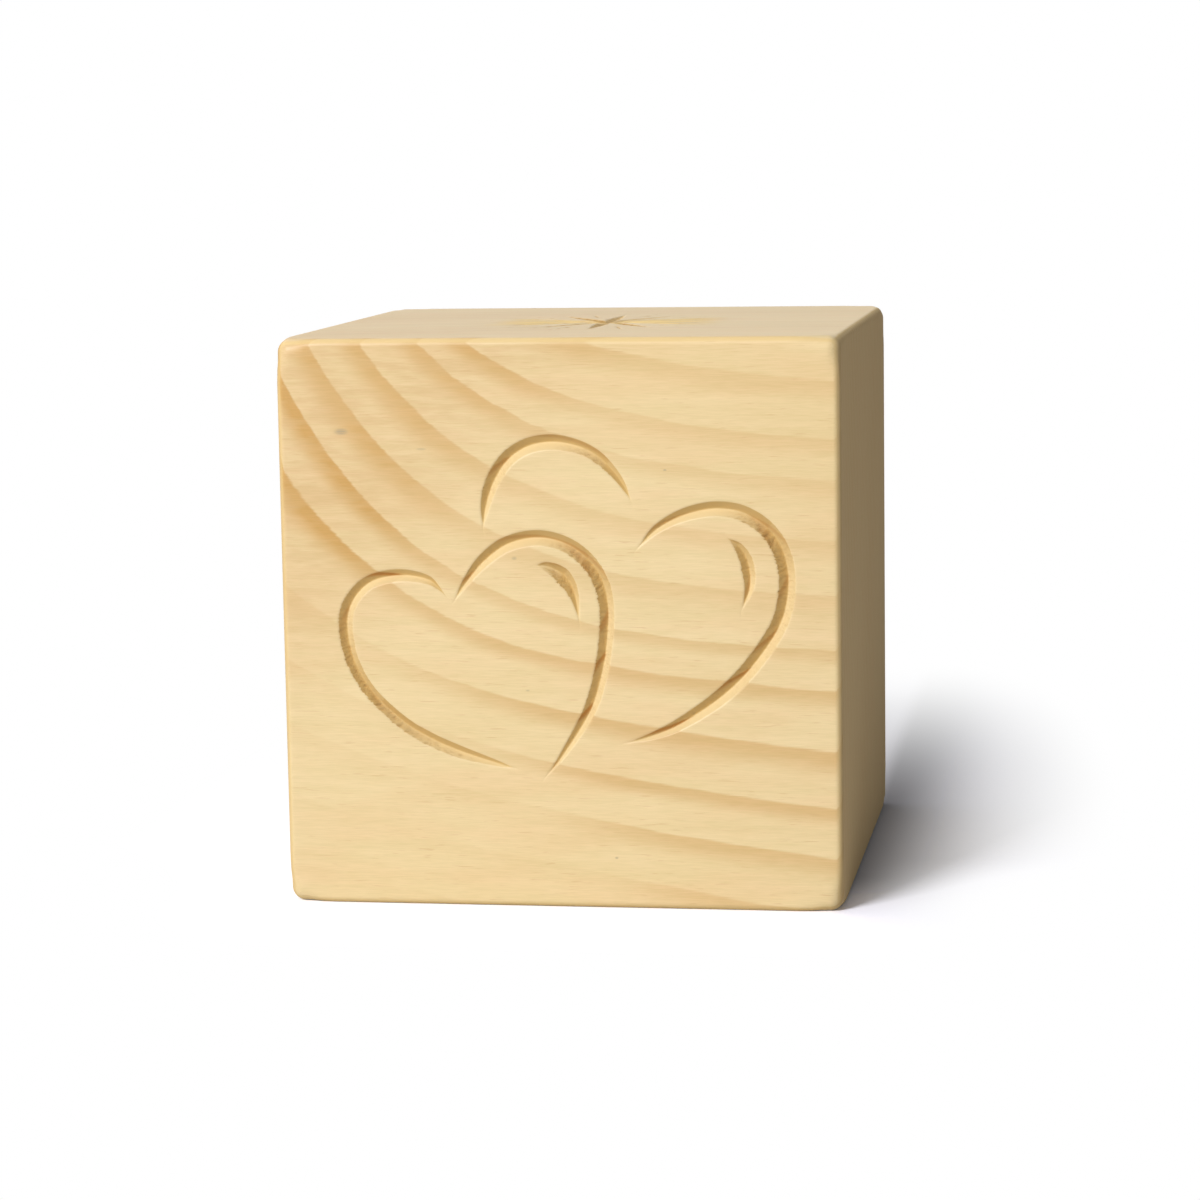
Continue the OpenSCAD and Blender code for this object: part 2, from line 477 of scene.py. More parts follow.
# %% [markdown]
# ## How deep the cutter went
# A V cutter leaves two straight walls, so the depth at a point is half the width of the cut less the
# distance from its middle. Real cuts are a little softer: the tip of the cutter is slightly round. In the
# hearts the tool leaned slightly, which moves the deepest line a little to the lower right. A modifier could
# press the strokes in as curves, but a formula gives the depth at any point and keeps the mesh free of stray
# cuts.

# %% Find the nearest place on a stroke
cutter_tip_r = 0.16
tool_lean = 0.08
wall_change = 0.16


def nearest_on(line, points):
    """For each point, its distance from a stroke's middle, the half width there, its side and the segment.

    The side runs from 1 where the point lies to the upper left of the stroke to -1 at the lower right.
    """
    start, run = line[:-1], np.diff(line, axis=0)
    inside = np.full(len(points), -1e9)
    off, half, side = np.zeros((3, len(points)))
    segment = np.zeros(len(points), int)
    for k in range(len(run)):
        flat = run[k, :2]
        away = points - start[k, :2]
        t = np.clip(away @ flat / max(flat @ flat, 1e-12), 0, 1)
        away = away - t[:, None] * flat
        distance = np.hypot(*away.T)
        half_here = start[k, 2] + t * run[k, 2]
        better = half_here - distance > inside
        inside[better] = (half_here - distance)[better]
        off[better] = distance[better]
        half[better] = half_here[better]
        side[better] = ((away[:, 1] - away[:, 0]) / math.sqrt(2) / np.maximum(distance, 1e-9))[better]
        segment[better] = k
    return off, half, side, segment


def across_the_cut(off, half, side, lean):
    """The distance from the stroke's middle, more to the upper left, and where its deepest line is."""
    return off * np.where(side >= 0, 1, -1), -lean * half * np.abs(side)


def vee_depth(off, half, side, lean):
    """Depth of a V with a slightly round tip, in mm. A lean moves its deepest line to the lower right."""
    half = np.maximum(half, 0.01)
    across, deepest = across_the_cut(off, half, side, lean)
    upper_left_wall = half * (half - across) / (half - deepest)
    lower_right_wall = half * (half + across) / (half + deepest)
    apart = np.hypot(upper_left_wall - lower_right_wall, 2 * np.minimum(cutter_tip_r, half / 2))
    return (upper_left_wall + lower_right_wall - apart) / 2


def leaning_wall(off, half, side, lean):
    """1 on the wall to the upper left of the deepest line, 0 on the other, and a narrow change between."""
    across, deepest = across_the_cut(off, half, side, lean)
    return np.clip((across - deepest) / wall_change + 0.5, 0, 1)


middle_of_widest = vee_depth(np.zeros(1), np.full(1, stroke_w / 2), np.zeros(1), tool_lean)[0]
print(f"a cut {stroke_w} mm wide goes {middle_of_widest:.2f} mm deep")

# %% [markdown]
# ## With the grain and against it
# The fibres run along X. Where a stroke runs down to the right, the cutter meets them the wrong way: the
# wood comes out browner on both walls, and fibres tear out of its lower left edge in teeth that are long in
# X and thin in Z. Both are worked out from the direction of the stroke, so they land where a real cutter
# would leave them. In the hearts the upper left wall of every run, which faces away from the lamp, is also
# painted a darker honey colour as painted shade.

# %% Read the grain along a stroke
tear_reach = 0.30
tear_across_grain = 0.55
coarse_teeth, fine_teeth = (1.1, 0.30), (0.6, 0.16)
tears_from_half, tears_fully_at = 0.7, 1.2


def grain_met(line, segment):
    """How much the cutter worked against the grain, and how much across it, at each point: 0 to 1."""
    run = np.diff(line, axis=0)[:, :2]
    run = run / np.hypot(*run.T)[:, None]
    along = run[segment]
    against_grain = np.clip(-2 * along[:, 0] * along[:, 1], 0, 1)
    return against_grain, along[:, 1] ** 2


def browning_and_painted_shade(line, segment, painted_shade_and_browning):
    """How brown a wall is, 0 to 1: by the grain it cuts, plus a tint, which on the hearts is painted shade.
    """
    against_grain, cross_grain = grain_met(line, segment)
    return np.clip(against_grain * np.sqrt(cross_grain) + painted_shade_and_browning, 0, 1)


def teeth_at(right, up):
    """A rough profile of torn fibres, from a coarse and a fine noise, both stretched along the grain."""
    coarse = noise.noise((right / coarse_teeth[0], up / coarse_teeth[1], 3.1))
    fine = noise.noise((right / fine_teeth[0], up / fine_teeth[1], 7.7))
    return coarse + 0.5 * fine


def tear_out(line, points, half, segment):
    """How far fibres are torn out beyond the edge of the cut, in mm."""
    against_grain, cross_grain = grain_met(line, segment)
    away = points - line[segment, :2]
    lower_left = np.clip(-(away[:, 0] + away[:, 1]), 0, 0.6) / 0.6
    teeth = np.array([teeth_at(right, up) for right, up in points])
    full_cut = np.clip((half - tears_from_half) / (tears_fully_at - tears_from_half), 0, 1)
    weight = (against_grain * lower_left + tear_across_grain * cross_grain) * full_cut
    return tear_reach * weight * np.clip(teeth + 0.25, 0, 1)


print(f"torn fibres reach up to {tear_reach} mm out of the cut")

# %% [markdown]
# ## All cuts of a face together
# Where two strokes meet, the deeper one wins. Sanding after the carving eased the two upper edges of every
# cut, so the depth turns smoothly into the face instead of starting at a corner. Beside the depth, each
# point gets two more numbers for the finish: how torn the wood is there and how brown.

# %% Cut the lines into a face
eased_edge = 0.10
star_slope = 0.7
look_beyond = 1.6
flat_beyond = -1.2


def heart_cut(line, points):
    """How far below its edge one stroke lies at each point, how torn it is and how brown with painted shade.
    """
    off, half, side, segment = nearest_on(line, points)
    inside = vee_depth(off, half, side, tool_lean)
    ragged = np.where(inside > flat_beyond, 1.0, 0.0) * tear_out(line, points, half, segment)
    upper_left = leaning_wall(off, half, side, tool_lean)
    # Painted shade: the upper left wall, which faces away from the lamp, is painted browner
    painted_shade_and_browning = np.clip(0.25 + 0.9 * np.abs(side), 0, 0.9) * upper_left
    return inside + ragged, ragged / tear_reach, browning_and_painted_shade(line, segment, painted_shade_and_browning)


def ray_cut(line, points):
    """The same for one ray of the star, whose walls are flatter and tear where they cross the grain."""
    off, half, side, segment = nearest_on(line, points)
    inside = star_slope * vee_depth(off, half, side, 0)
    against_grain, cross_grain = grain_met(line, segment)
    split_fibres = np.clip(1.4 * against_grain * cross_grain, 0, 1)
    return inside, np.where(inside > 0, split_fibres, 0), browning_and_painted_shade(line, segment, 0.3 * cross_grain)


def cut_into(points, lines, one_cut):
    """Depth of the carving below the face, how torn the wood is and how brown, at each point of a face."""
    depth, torn, brown = np.zeros((3, len(points)))
    for line in lines:
        margin = line[:, 2].max() + look_beyond
        low_end, high_end = line[:, :2].min(0) - margin, line[:, :2].max(0) + margin
        near = np.all((points > low_end) & (points < high_end), axis=1)
        inside, torn_here, brown_here = one_cut(line, points[near])
        eased = np.where(inside > flat_beyond, (inside + np.hypot(inside, eased_edge)) / 2, 0)
        torn[near] = np.maximum(torn[near], torn_here)
        brown[near] = np.where(eased > depth[near], brown_here, brown[near])
        depth[near] = np.maximum(depth[near], eased)
    return depth, torn, brown


test_depth, _, _ = cut_into(np.array([[hearts_right + 39.6, hearts_up + 4.2]]), heart_lines, heart_cut)
print(f"the widest stroke is {test_depth[0]:.2f} mm deep")

# %% [markdown]
# ## Points for a carved face
# A face could be one fine grid, but crisp grooves would need millions of cells. Instead the mesh is fine
# only where the wood was cut: rows of points follow each stroke, close together at its middle and at its two
# edges, and a coarse grid fills the rest.

# %% Lay points along the cuts
grid_step = 2.4
rows_in_mm = [0.12, 0.28]
rows_at_edge = [-0.26, -0.12, 0.0, 0.12, 0.26, 0.42, 0.75, 1.3]
rows_on_wall = [0.35, 0.55, 0.75]
heart_gap, star_gap = 0.085, 0.13


def sideways(line):
    """Unit vectors across a line, in the plane of the face."""
    run = np.gradient(line[:, :2], axis=0)
    run = run / np.hypot(*run.T)[:, None]
    return np.column_stack([-run[:, 1], run[:, 0]])


def rows_beside(line, lean):
    """Points in rows along one stroke: its deepest line first, then the edges of the cut and the walls."""
    across = sideways(line)
    half = np.maximum(line[:, 2:3], 0)
    to_upper_left = (across[:, 1:] - across[:, :1]) / math.sqrt(2)
    deepest = line[:, :2] - across * to_upper_left * lean * half
    rows = [deepest]
    for side in (-1, 1):
        for gap in rows_at_edge:
            rows.append(line[:, :2] + side * across * (half + gap))
        for gap in rows_in_mm:
            rows.append(deepest + side * across * gap)
        for share in rows_on_wall:
            rows.append(line[:, :2] + side * across * half * share)
    return rows


print(len(rows_beside(heart_lines[0], tool_lean)), "rows of points along each stroke")

# %% [markdown]
# ## Points that crowd each other
# Where strokes meet, their rows overlap, and two points that nearly touch would make a sliver of a triangle.
# So a point that comes too close to an earlier one is left out. The deepest lines stand first in the list,
# and so they stay. Comparing all pairs would take long, so each point only looks at the cells round its own.

# %% Thin the points out
def thin_out(points, least_gap):
    """Drop every point that lies closer than the least gap to one before it in the list."""
    cell = least_gap / math.sqrt(2)
    taken = {}
    kept = []
    for index, (u, v) in enumerate(points):
        column, row = math.floor(u / cell), math.floor(v / cell)
        crowded = False
        for i in range(column - 2, column + 3):
            for j in range(row - 2, row + 3):
                other = taken.get((i, j))
                if other is not None and math.hypot(u - other[0], v - other[1]) < least_gap:
                    crowded = True
                    break
            if crowded:
                break
        if not crowded:
            taken[(column, row)] = (u, v)
            kept.append(index)
    return points[kept]


def carving_points(lines, least_gap, lean):
    """All points that a face needs for its carving, in mm from the face's middle."""
    all_rows = [rows_beside(line, lean) for line in lines]
    ordered = [row for same_row in zip(*all_rows) for row in same_row]
    return thin_out(np.vstack(ordered), least_gap)


heart_points = carving_points(heart_lines, heart_gap, tool_lean)
star_points = carving_points(star_lines, star_gap, 0)
print(len(heart_points), "points for the hearts,", len(star_points), "for the star")

# %% [markdown]
# ## Six faces that share their edges
# The block starts as a sharp box. Every face is laid out on the same three lists of positions, one for X,
# one for Y and one for Z, so that neighbouring faces meet point for point. The lists are close together near
# the ends, where the wood is rounded, and even in between.

# %% Share out the positions
rim_steps = 6
beside_rim = [0.0, 0.5, 1.0, 1.6, 2.6]
even_from = 4.2


def positions(length, step):
    """Places along one side of a face, in mm from its middle."""
    angles = np.radians(np.linspace(45, 0, rim_steps + 1))
    rim = edge_r * (1 - np.tan(angles))
    flat_half = length / 2 - edge_r
    near_rim = np.array(beside_rim)
    even_half = flat_half - even_from
    even = np.linspace(-even_half, even_half, round(2 * even_half / step) + 1)
    flat = np.concatenate([-flat_half + near_rim, even, (flat_half - near_rim)[::-1]])
    return np.concatenate([-length / 2 + rim[:-1], flat, (length / 2 - rim[:-1])[::-1]])


along_x = positions(block_w, grid_step)
along_y = positions(block_d, grid_step)
along_z = positions(block_h, grid_step)

# Each face: the middle of the face, its right and up directions, and the two lists that it uses
middle_z = block_h / 2
faces = {
    "front": ((0, -block_d / 2, middle_z), (1, 0, 0), (0, 0, 1), along_x, along_z),
    "back": ((0, block_d / 2, middle_z), (-1, 0, 0), (0, 0, 1), along_x, along_z),
    "right": ((block_w / 2, 0, middle_z), (0, 1, 0), (0, 0, 1), along_y, along_z),
    "left": ((-block_w / 2, 0, middle_z), (0, -1, 0), (0, 0, 1), along_y, along_z),
    "top": ((0, 0, block_h), (1, 0, 0), (0, 1, 0), along_x, along_y),
    "underside": ((0, 0, 0), (1, 0, 0), (0, -1, 0), along_x, along_y),
}
print("positions along X, Y and Z:", len(along_x), len(along_y), len(along_z))

# %% [markdown]
# ## Joining the points into triangles
# A plain face is a grid of four-sided cells. On a carved face the flat middle is filled by a Delaunay
# triangulation, which joins any scattered points into the best shaped triangles. The points in rows along
# every stroke's deepest line then join up by themselves, so each groove has a clean bottom.

# %% Triangulate a face
def plain_face(us, vs):
    """Points and four-sided cells of a whole face, with its rim."""
    points = np.array([(u, v) for v in vs for u in us])
    columns = len(us)
    cells = [
        (j * columns + i, j * columns + i + 1, (j + 1) * columns + i + 1, (j + 1) * columns + i)
        for j in range(len(vs) - 1) for i in range(columns - 1)
    ]
    return points, cells


def carved_face(us, vs, cut_points, clear_gap):
    """The same rim as a plain face, with a finer triangulated middle for the carving."""
    points, cells = plain_face(us, vs)
    inner_u, inner_v = us[rim_steps], vs[rim_steps]

    def in_middle(p, slack):
        """Whether a point lies in the flat middle of the face, or on its border."""
        return abs(p[0]) <= -inner_u - slack and abs(p[1]) <= -inner_v - slack

    rim_cells = [c for c in cells if not all(in_middle(points[k], -1e-6) for k in c)]
    border = [p for p in points if in_middle(p, -1e-6) and not in_middle(p, 1e-6)]
    filling = [p for p in points if in_middle(p, 1e-6)]
    tree = kdtree.KDTree(len(cut_points))
    for k, (u, v) in enumerate(cut_points):
        tree.insert((u, v, 0), k)
    tree.balance()
    filling = [p for p in filling if tree.find((p[0], p[1], 0))[2] > clear_gap]
    scattered = [Vector(p) for p in [*border, *filling, *cut_points]]
    made = geometry.delaunay_2d_cdt(scattered, [], [], 0, 1e-5, False)
    middle_points = np.array([tuple(p) for p in made[0]])
    middle_cells = [tuple(k + len(points) for k in cell) for cell in made[2]]
    return np.vstack([points, middle_points]), rim_cells + middle_cells


grid_clear_of_cuts = 0.9
face_plans = {}
for name, (_, _, _, us, vs) in faces.items():
    if name == "front":
        face_plans[name] = carved_face(us, vs, heart_points, grid_clear_of_cuts)
    elif name == "top":
        face_plans[name] = carved_face(us, vs, star_points, grid_clear_of_cuts)
    else:
        face_plans[name] = plain_face(us, vs)
    print(name, len(face_plans[name][0]), "points,", len(face_plans[name][1]), "cells")

# %% [markdown]
# ## Rounding the box and carving it
# Each point of the sharp box is pushed onto the rounded block: it keeps its nearest point on a smaller inner
# box, and ends up one edge radius away from it. Hand sanding is never quite even, so a little more wood is
# taken off the edges here and there, and never less, which keeps the block inside the CAD solid. The eight
# corners get the most: the sanding block rolls over them, and leaves them rounder than the edges.

# %% Shape the block
sanding_depth = 0.08
sanding_stroke = 14.0
corner_r = 2.5
corner_lead = 4.5


def rounded(points):
    """Sharp box to rounded block: the new points, the way out at each, and how much of an edge it is."""
    centre = np.array([0, 0, block_h / 2])
    inner = np.array([block_w, block_d, block_h]) / 2 - edge_r
    kept = np.clip(points - centre, -inner, inner)
    out = points - centre - kept
    out = out / np.linalg.norm(out, axis=1)[:, None]
    on_edge = (1 - np.abs(out).max(axis=1)) / (1 - math.sqrt(0.5))
    return centre + kept + edge_r * out, out, np.clip(on_edge, 0, 1)


def sanded(points, out, on_edge):
    """Take a little more off the edges, unevenly, as a hand-held sanding block does."""
    uneven = np.array([0.5 + 0.5 * noise.noise(Vector(p) / sanding_stroke) for p in points])
    return points - out * (sanding_depth * on_edge * uneven)[:, None]


def corners_rolled(points):
    """Round the eight corners to a larger radius than the edges, which widen gently towards them."""
    centre = np.array([0, 0, block_h / 2])
    ball_centre = np.array([block_w, block_d, block_h]) / 2 - corner_r
    past = np.abs(points - centre) - ball_centre
    reach = np.linalg.norm(np.maximum(past, 0), axis=1)
    share = np.clip(1 + past.min(axis=1) / corner_lead, 0, 1)
    share = share * share * (3 - 2 * share)
    too_far = np.maximum(reach - corner_r, 0) * share
    inward = np.sign(points - centre) * np.maximum(past, 0) / np.maximum(reach, 1e-9)[:, None]
    return points - inward * too_far[:, None]


def shape_face(name):
    """The points of one finished face in the block's own frame, and what the finish needs to know."""
    middle, right, up, _, _ = faces[name]
    plan, _ = face_plans[name]
    outward = np.cross(right, up)
    points = np.array(middle) + plan[:, :1] * np.array(right) + plan[:, 1:] * np.array(up)
    depth, torn, brown = np.zeros((3, len(plan)))
    if name == "front":
        depth, torn, brown = cut_into(plan, heart_lines, heart_cut)
    elif name == "top":
        depth, torn, brown = cut_into(plan, star_lines, ray_cut)
    points, out, on_edge = rounded(points)
    points = corners_rolled(sanded(points, out, on_edge))
    return points - outward * depth[:, None], depth, torn, brown, on_edge


shaped = {name: shape_face(name) for name in faces}
for name in ("front", "top"):
    print("deepest cut,", name, round(shaped[name][1].max(), 2), "mm")

# %% [markdown]
# ## Growth rings
# A ring is a nearly flat sheet in a block this small. The sheets stand about twenty degrees off the front,
# so they meet it in wide bands and meet the ends in narrow ones. Each band is drawn from its height at the
# block's right side. Low bands climb evenly towards the left, and high ones sweep up steeply, because the
# trunk curved there. Each point of the block gets its place between the rings once, as a number that grows
# by one from ring to ring. The finish reads that number, so the figure runs true round every edge and down
# into every groove.

# %% Number the rings
ring_heights = [-20.5, -10.8, -0.4, 9.7, 18.8, 29, 39.9, 46.6, 56.4, 66, 76.8, 84, 94.2, 104]
ring_pitch = 9.55
rings_into_block = 0.285
even_climb = 19.0
swept_heights = [-15, 29, 40, 47, 57, 66, 76]
swept_rises = [0, 25, 38.5, 51.5, 59, 68, 73]


def ring_line(height, x):
    """How high a band runs at x mm from the left side, for its height at the right side."""
    even = np.interp(height, [-20, 50], [even_climb, 0])
    sweep = np.interp(height, swept_heights, swept_rises)
    length = np.interp(height, [29, 40], [32, 24.5])
    fade = np.exp(-x / length) - np.exp(-block_w / length)
    return height + even * (1 - x / block_w) + sweep * fade


def ring_number(points):
    """The place of each point between the growth rings: 1 more from each ring to the next one up."""
    x = points[:, 0] + block_w / 2
    inward = points[:, 1] + block_d / 2
    z = points[:, 2]
    bands = [ring_line(height, x) for height in ring_heights]
    number = np.minimum(z - bands[0], 0) / ring_pitch + np.maximum(z - bands[-1], 0) / ring_pitch
    for lower, upper in zip(bands, bands[1:]):
        number += np.clip((z - lower) / (upper - lower), 0, 1)
    return number - rings_into_block * inward


all_points = np.vstack([shaped[name][0] for name in faces])
numbers = ring_number(all_points)
print(f"rings from {numbers.min():.1f} to {numbers.max():.1f}")

# %% [markdown]
# ## One closed mesh
# The six faces are put into one mesh and welded where they meet, so that the block is a single closed skin
# with no seam. What the finish needs to know travels with the mesh as named attributes.

# %% Build the mesh
def all_cells():
    """The cells of all six faces, with their point numbers moved on to match the joined list."""
    cells, first = [], 0
    for name in faces:
        plan, face_cells = face_plans[name]
        cells += [tuple(k + first for k in cell) for cell in face_cells]
        first += len(plan)
    return cells


block_mesh = bpy.data.meshes.new("carved_cube")
block_mesh.from_pydata(all_points * MM, [], all_cells())
carried = {"ring_number": numbers}
for column, value_name in enumerate(("cut_depth", "torn_fibres", "browned_and_shaded_cut", "rounded_edge"), 1):
    carried[value_name] = np.concatenate([shaped[name][column] for name in faces])
for value_name, values in carried.items():
    layer = block_mesh.attributes.new(value_name, "FLOAT", "POINT")
    layer.data.foreach_set("value", values.astype(np.float32))

weld_within = 0.002
skin = bmesh.new()
skin.from_mesh(block_mesh)
bmesh.ops.remove_doubles(skin, verts=skin.verts, dist=weld_within * MM)
loose = [vert for vert in skin.verts if not vert.link_faces]
bmesh.ops.delete(skin, geom=loose, context="VERTS")
bmesh.ops.recalc_face_normals(skin, faces=skin.faces)
open_edges = sum(1 for edge in skin.edges if not edge.is_manifold)
skin.to_mesh(block_mesh)
skin.free()
block_mesh.shade_smooth()
cube = bpy.data.objects.new("carved_cube", block_mesh)
bpy.context.scene.collection.objects.link(cube)
triangles = sum(len(polygon.vertices) - 2 for polygon in block_mesh.polygons)
print(triangles, "triangles, open edges:", open_edges)

# %% [markdown]
# ## The pine finish
# Pine has pale spring wood that darkens slowly to a honey-coloured summer line and then breaks off sharply.
# A picture of wood could be wrapped round the block, but its rings would not meet at the edges. Here all of
# it is made by nodes from the block's own coordinates and its ring numbers, so it runs true everywhere.

# %% Choose the colours
spring_wood = paint(243, 218, 167)
peach_wood = paint(243, 206, 156)
# Honey tone, also laid on the right of the top as painted shade
honey_and_shade_wood = paint(230, 196, 136)
summer_wood = paint(213, 167, 98)
aged_wood = paint(219, 180, 126)
warm_edge = paint(237, 206, 143)
end_wood = paint(222, 188, 134)
fresh_cut = paint(238, 211, 156)
# Partly fresh wood and partly painted light: the star's walls, dim under the lamp, are painted paler
star_cut_and_painted_light = paint(255, 222, 164)
# Brown of cuts against the grain, also used as painted shade on the hearts' upper left walls
browned_and_shaded_wood = paint(214, 178, 112)
burnt_wood = paint(192, 136, 70)
torn_wood = paint(172, 126, 70)
# Lifted fibres, painted nearly white, in part as a painted highlight
splinter_and_highlight_wood = paint(255, 224, 158)
smudge_grey = paint(176, 158, 128)
print("spring wood, linear:", [round(c, 3) for c in spring_wood[:3]])

# %% [markdown]
# ## Fibres
# Seen close, pine is a bundle of long fibres. One noise, stretched along X, gives them all: its length and
# width decide whether hair lines, streaks, flecks or broad patches come out. At the block's two ends the
# fibres are cut across. That end grain is browner and more matt, and is told by the way the surface faces.

# %% Draw the fibres
# Each kind: length and width in mm, how much fine detail, and a shift so that no two kinds fall together
fibre_kinds = {
    "wandering rings": (60, 9, 2.0, 3.0),
    "ragged rings": (7, 0.5, 2.0, 9.0),
    "stains": (9, 1.7, 4.0, 2.0),
    "peach patches": (30, 7, 2.0, 17.0),
    "streaks": (26, 1.6, 3.0, 5.0),
    "hair lines": (3.5, 0.22, 3.0, 0.0),
    "flecks": (4.5, 0.3, 2.0, 13.0),
    "splinters": (10, 1.5, 3.0, 21.0),
}
end_grain_from, end_grain_to = 0.45, 0.95


def attribute(tree, name):
    """A named value that travels with the mesh."""
    node = tree.nodes.new("ShaderNodeAttribute")
    node.attribute_name = name
    return node.outputs["Fac"]


def fibres(tree, place, kind):
    """Fibres of one kind, long in X and thin across it: 0 to 1, about 0.5 on average."""
    length, width, detail, shift = fibre_kinds[kind]
    stretch = tree.nodes.new("ShaderNodeMapping")
    scale = (1 / (length * MM), 1 / (width * MM), 1 / (width * MM))
    feed(tree, stretch, {"Vector": place, "Location": (shift, shift, shift), "Scale": scale})
    grain = tree.nodes.new("ShaderNodeTexNoise")
    feed(tree, grain, {"Vector": stretch.outputs[0], "Scale": 1.0, "Detail": detail, "Roughness": 0.55})
    return grain.outputs["Fac"]


def facing_along_grain(tree):
    """1 where the surface looks along the fibres, which is end grain, and 0 where they lie in it."""
    normal = tree.nodes.new("ShaderNodeTexCoord").outputs["Normal"]
    along = arithmetic(tree, "ABSOLUTE", parts_of(tree, normal)["X"])
    return smooth_step(tree, along, end_grain_from, end_grain_to)


print(len(fibre_kinds), "kinds of fibre")

# %% [markdown]
# ## Rings in colour
# No two rings are alike: each has its own darkness and its own share of summer wood. Two short lists hold
# them, and a colour ramp serves as the table in which the nodes look them up. The ring number is moved about
# a little first, or the lines would be as smooth as if they had been ruled.

# %% Draw the rings
# From the lowest ring up: how dark its summer wood is, and at which share of the ring it starts to darken
ring_darkness = [0.40, 0.42, 0.50, 0.54, 0.58, 0.52, 0.38, 0.28, 0.24, 0.24, 0.27, 0.27, 0.28, 0.40]
ring_start = [0.50, 0.50, 0.45, 0.52, 0.45, 0.56, 0.48, 0.36, 0.46, 0.58, 0.36, 0.52, 0.62, 0.55]
wandering, raggedness = 0.16, 0.07
darkest_from, breaks_off_from = 0.90, 0.94
burnt_from, burnt_to, burnt_fades_from = 0.62, 0.84, 0.87


def frayed_number(tree, number, place):
    """The ring number, moved about a little: slowly along a ring, and quickly at its ragged fibres."""
    for kind, most in (("wandering rings", wandering), ("ragged rings", raggedness)):
        offset = arithmetic(tree, "SUBTRACT", fibres(tree, place, kind), 0.5)
        number = arithmetic(tree, "ADD", number, product(tree, offset, most))
    return number


def ring_chart(tree, number):
    """Look up a ring's own darkness and the share of it where the darkening starts."""
    count = len(ring_darkness)
    index = arithmetic(tree, "FLOORED_MODULO", arithmetic(tree, "FLOOR", number), count)
    chart = tree.nodes.new("ShaderNodeValToRGB")
    chart.color_ramp.interpolation = "CONSTANT"
    for k in range(2, count):
        chart.color_ramp.elements.new(k / count)
    for k, stop in enumerate(chart.color_ramp.elements):
        stop.position = k / count
        stop.color = (ring_darkness[k], ring_start[k], 0, 1)
    middle_of_stop = arithmetic(tree, "DIVIDE", arithmetic(tree, "ADD", index, 0.5), count)
    feed(tree, chart, {0: middle_of_stop})
    split = tree.nodes.new("ShaderNodeSeparateColor")
    feed(tree, split, {0: chart.outputs["Color"]})
    return split.outputs[0], split.outputs[1]


def band_in_ring(tree, number, rise_from, rise_to, fall_from):
    """0 where a ring starts, rising smoothly to 1, and back at 0 where the next ring starts."""
    share = arithmetic(tree, "FRACT", number)
    rise = smooth_step(tree, share, rise_from, rise_to)
    fall = smooth_step(tree, share, fall_from, 1.0, 1.0, 0.0)
    return product(tree, rise, fall)


print(len(ring_darkness), "rings, the darkest", max(ring_darkness), "and the palest", min(ring_darkness))

# %% [markdown]
# ## Where the rings are strong
# On the block, the rings are faint in the lower left and darkest in the upper left, where the wood is
# stained as well. The upper right has more honey tone. A painted mask could say so, but two slanted
# directions are enough: X plus Z runs to the upper right of the front, and Z less X to its upper left. On
# the top they also keep the left lighter and make the right darker, partly the wood's own tone and partly
# painted light and painted shade.

# %% Vary the rings by place
faint_until, full_from, faintest = 8, 36, 0.15
honey_shade_from, honey_shade_to, honey_shade_most = 85, 135, 0.25
upper_left_from, upper_left_to = 70, 122
darkest_there, stained_there, wider_there = 3.0, 0.70, 0.15
top_from, top_to, left_on_top = 1.6, 0.4, 0.35


def strength_by_place(tree, place, stains):
    """How strong the rings are at a place, how much upper left it is, and its honey tone with painted shade.
    """
    at = parts_of(tree, place)
    to_upper_right = arithmetic(tree, "ADD", at["Z"], at["X"])
    present = smooth_step(tree, to_upper_right, faint_until * MM, full_from * MM, faintest, 1.0)
    # Honey tone, and painted shade on the top, which darkens towards its right
    honey_and_top_shade = smooth_step(tree, to_upper_right, honey_shade_from * MM, honey_shade_to * MM, 0.0, honey_shade_most)
    to_upper_left = arithmetic(tree, "SUBTRACT", at["Z"], at["X"])
    upper_left = smooth_step(tree, to_upper_left, upper_left_from * MM, upper_left_to * MM)
    # Partly painted light: the top keeps less of the dark upper left, so its left stays lighter
    top_low, top_high = (block_h - top_from) * MM, (block_h - top_to) * MM
    less_on_top = smooth_step(tree, at["Z"], top_low, top_high, 1.0, left_on_top)
    upper_left = product(tree, upper_left, less_on_top)
    darker = smooth_step(tree, upper_left, 0, 1, 1.0, darkest_there)
    mottled = smooth_step(tree, product(tree, upper_left, stains), 0, 1, 1.0, stained_there)
    return product(tree, present, darker, mottled), upper_left, honey_and_top_shade


print(f"the rings count {faintest} times in the lower left and {darkest_there} times in the upper left")

# %% [markdown]
# ## Splinters and small marks
# Along X the star's cutter lifted fibres, which stand out as a bright splintered strip that widens away from
# the middle. Its near-white colour is partly the lifted fibres and partly a painted highlight, for walls
# that catch the lamp. A carved mesh of splinters would need a great many faces for something half a
# millimetre high, so they are made with colour and bump. The front has a few small marks too, each an oval
# spot of grey.

# %% Draw the splinters and the marks
strip_half, strip_widens = 2.0, 0.50
strip_fades_from, strip_fades_to = 13, 23
top_gone_at, top_full_at = 2.0, 1.2

# The small marks on the front: right of the middle, height, width, height of the mark, and how dark it is
small_marks = [
    (-38.4, 85.1, 3.4, 1.6, 0.75), (-7.7, 62.7, 1.3, 0.9, 0.45), (19.3, 78.3, 0.9, 0.5, 0.6),
    (9.8, 9.2, 0.9, 0.6, 0.6), (-5.7, 39.1, 1.0, 0.5, 0.45), (-24.0, 82.0, 2.6, 0.6, 0.35),
]


def near_top(tree, place):
    """1 on the top face and in the star's cuts, and 0 from two millimetres below it."""
    height = parts_of(tree, place)["Z"]
    return smooth_step(tree, height, (block_h - top_gone_at) * MM, (block_h - top_full_at) * MM)


